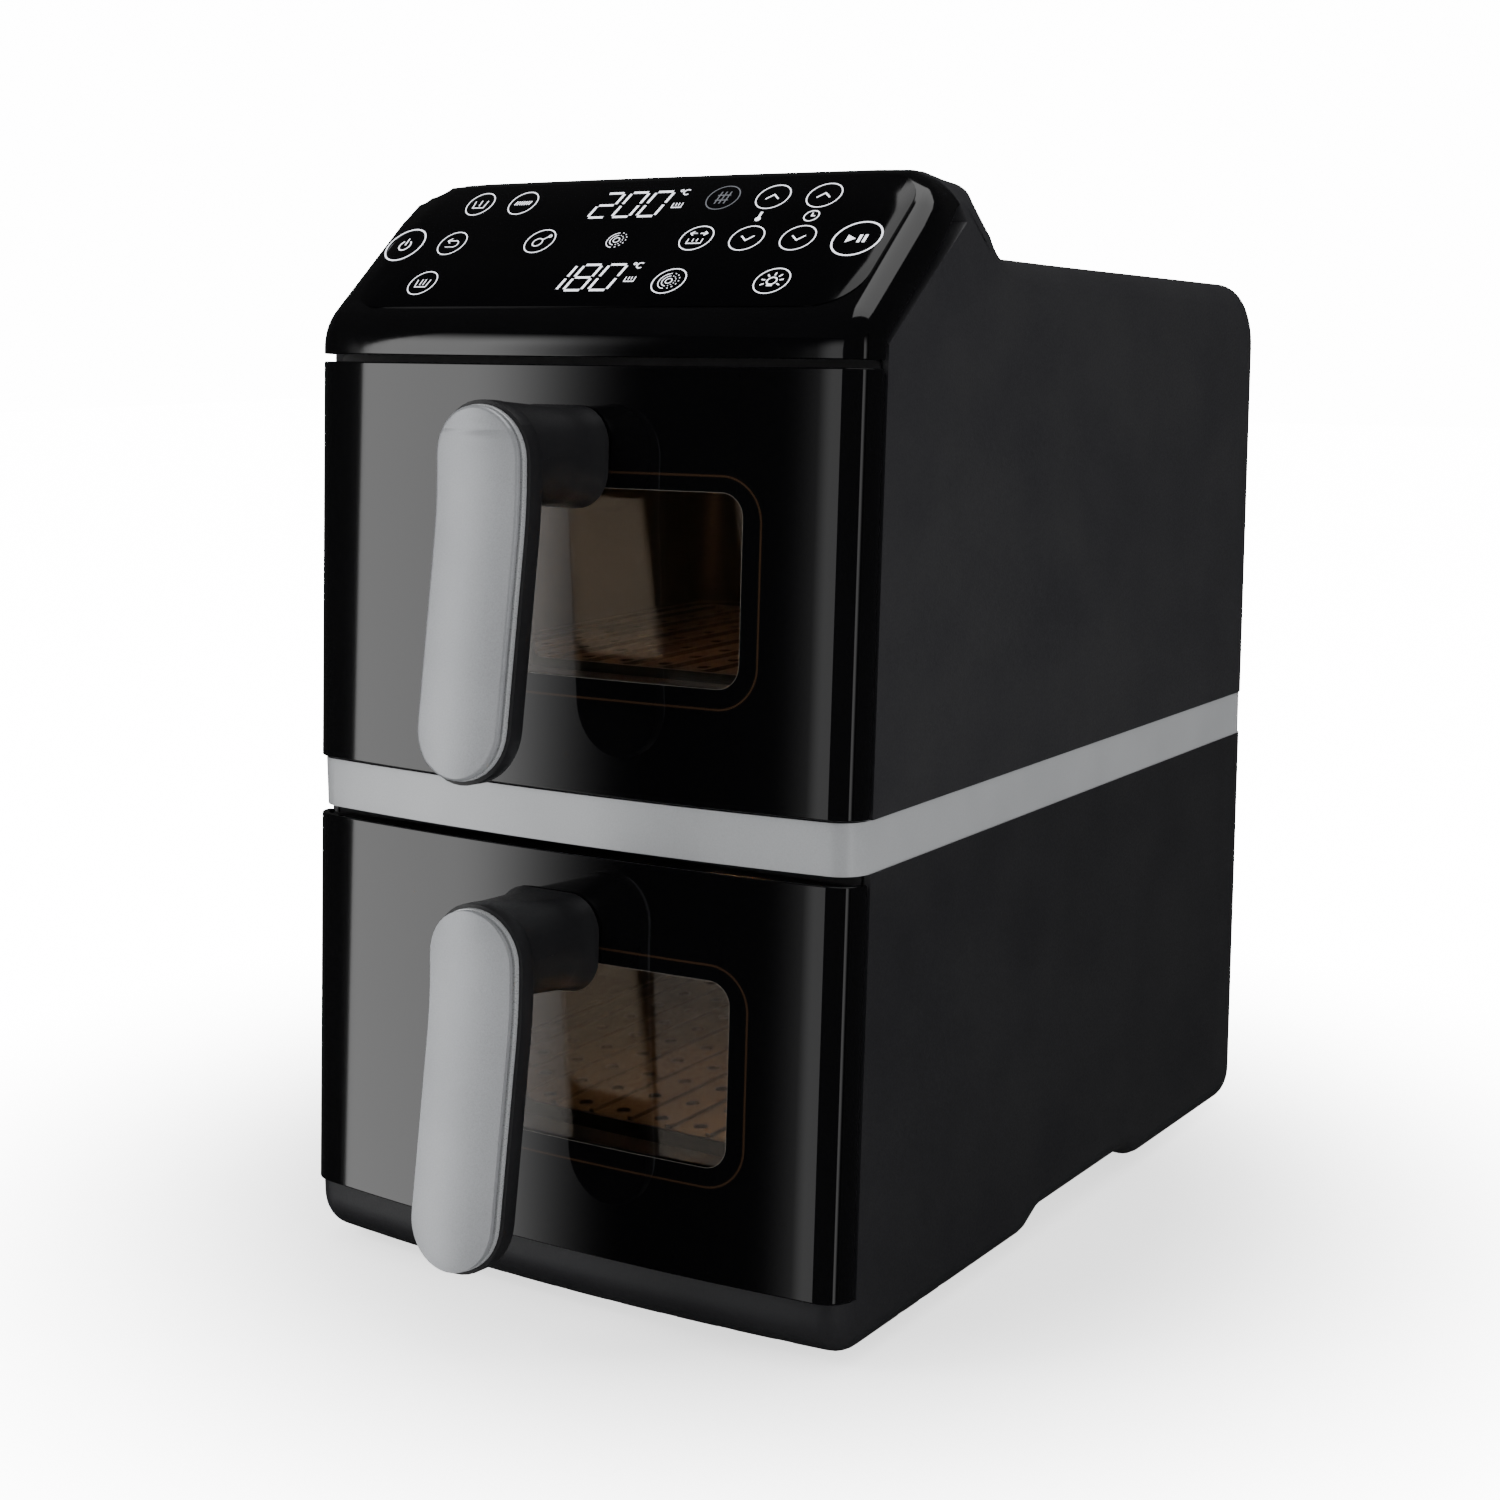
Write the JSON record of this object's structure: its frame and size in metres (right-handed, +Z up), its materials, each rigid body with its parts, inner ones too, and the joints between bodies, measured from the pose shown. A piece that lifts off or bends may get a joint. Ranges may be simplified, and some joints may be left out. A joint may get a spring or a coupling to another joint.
{
  "type": "air fryer",
  "caption": "Stacked air fryer with two pull-out drawers, smoked windows, metal-faced handles and a sloping touch panel.",
  "frame": {"origin": "centre of the whole footprint, handles included, on the plane the feet stand on", "axes": "+Z up, drawers open towards -Y, +X to the right of someone facing the drawers"},
  "size_m": [0.23, 0.3954, 0.3879],
  "materials": {
    "housing_plastic": "fine spark-eroded matt",
    "gloss_black": "polished",
    "silver_trim": "satin silver paint",
    "sheet_steel": "rolled sheet",
    "circuit_board": "solder mask",
    "black_rubber": "moulded",
    "screw_steel": "zinc plated",
    "heater_sheath": "oxidised sheath",
    "fan_metal": "stamped",
    "fan_plastic": "moulded",
    "motor_steel": "zinc grey",
    "lamp_glass": "warm frosted",
    "switch_plastic": "moulded",
    "smoked_glass": "smoked and polished",
    "clear_glass": "tempered",
    "nonstick_coat": "dark non-stick coating",
    "drawer_plastic": "moulded",
    "handle_plastic": "satin moulded",
    "grip_metal": "satin brushed"
  },
  "bodies": {
    "housing": {"upper_housing": "housing_plastic", "lower_housing": "housing_plastic", "trim_band": "silver_trim", "mid_shelf": "sheet_steel", "control_fascia": "gloss_black", "control_board": "circuit_board", "power_board": "circuit_board", "rear_cover": "housing_plastic", "base_plate": "housing_plastic", "rubber_feet": "black_rubber", "cord_gland": "black_rubber", "case_screws": "screw_steel", "lower_liner": "sheet_steel", "lower_heater": "heater_sheath", "lower_fan_guard": "sheet_steel", "lower_fan_motor": "motor_steel", "lower_exhaust_duct": "sheet_steel", "lower_oven_lamp": "lamp_glass", "lower_temp_sensor": "heater_sheath", "lower_microswitch": "switch_plastic", "upper_liner": "sheet_steel", "upper_heater": "heater_sheath", "upper_fan_guard": "sheet_steel", "upper_fan_motor": "motor_steel", "upper_exhaust_duct": "sheet_steel", "upper_oven_lamp": "lamp_glass", "upper_temp_sensor": "heater_sheath", "upper_microswitch": "switch_plastic"},
    "lower_drawer": {"lower_front_cover": "gloss_black", "lower_window_pane": "smoked_glass", "lower_window_frame": "drawer_plastic", "lower_drawer_frame": "drawer_plastic", "lower_inner_pane": "clear_glass", "lower_gasket": "black_rubber", "lower_basket": "nonstick_coat", "lower_handle_shell": "handle_plastic", "lower_handle_trim": "grip_metal", "lower_grip_plate": "grip_metal", "lower_handle_screws": "screw_steel"},
    "lower_plate": {"lower_crisper_plate": "nonstick_coat", "lower_plate_bumpers": "black_rubber"},
    "lower_fan": {"lower_impeller": "fan_metal", "lower_fan_shaft": "screw_steel", "lower_cooling_fan": "fan_plastic"},
    "upper_drawer": {"upper_front_cover": "gloss_black", "upper_window_pane": "smoked_glass", "upper_window_frame": "drawer_plastic", "upper_drawer_frame": "drawer_plastic", "upper_inner_pane": "clear_glass", "upper_gasket": "black_rubber", "upper_basket": "nonstick_coat", "upper_handle_shell": "handle_plastic", "upper_handle_trim": "grip_metal", "upper_grip_plate": "grip_metal", "upper_handle_screws": "screw_steel"},
    "upper_plate": {"upper_crisper_plate": "nonstick_coat", "upper_plate_bumpers": "black_rubber"},
    "upper_fan": {"upper_impeller": "fan_metal", "upper_fan_shaft": "screw_steel", "upper_cooling_fan": "fan_plastic"}
  },
  "joints": [
    {"name": "lower_drawer_slide", "type": "slide", "parent": "housing", "child": "lower_drawer", "axis": [0, -1, 0], "range_m": [0, 0.24]},
    {"name": "lower_plate_lift", "type": "slide", "parent": "lower_drawer", "child": "lower_plate", "axis": [0, 0, 1], "range_m": [0, 0.08]},
    {"name": "lower_fan_spin", "type": "hinge", "parent": "housing", "child": "lower_fan", "pos_m": [0, 0.10202, 0.0931], "axis": [0, 1, 0], "continuous": true},
    {"name": "upper_drawer_slide", "type": "slide", "parent": "housing", "child": "upper_drawer", "axis": [0, -1, 0], "range_m": [0, 0.24]},
    {"name": "upper_plate_lift", "type": "slide", "parent": "upper_drawer", "child": "upper_plate", "axis": [0, 0, 1], "range_m": [0, 0.08]},
    {"name": "upper_fan_spin", "type": "hinge", "parent": "housing", "child": "upper_fan", "pos_m": [0, 0.1114, 0.2519], "axis": [0, 1, 0], "continuous": true}
  ]
}
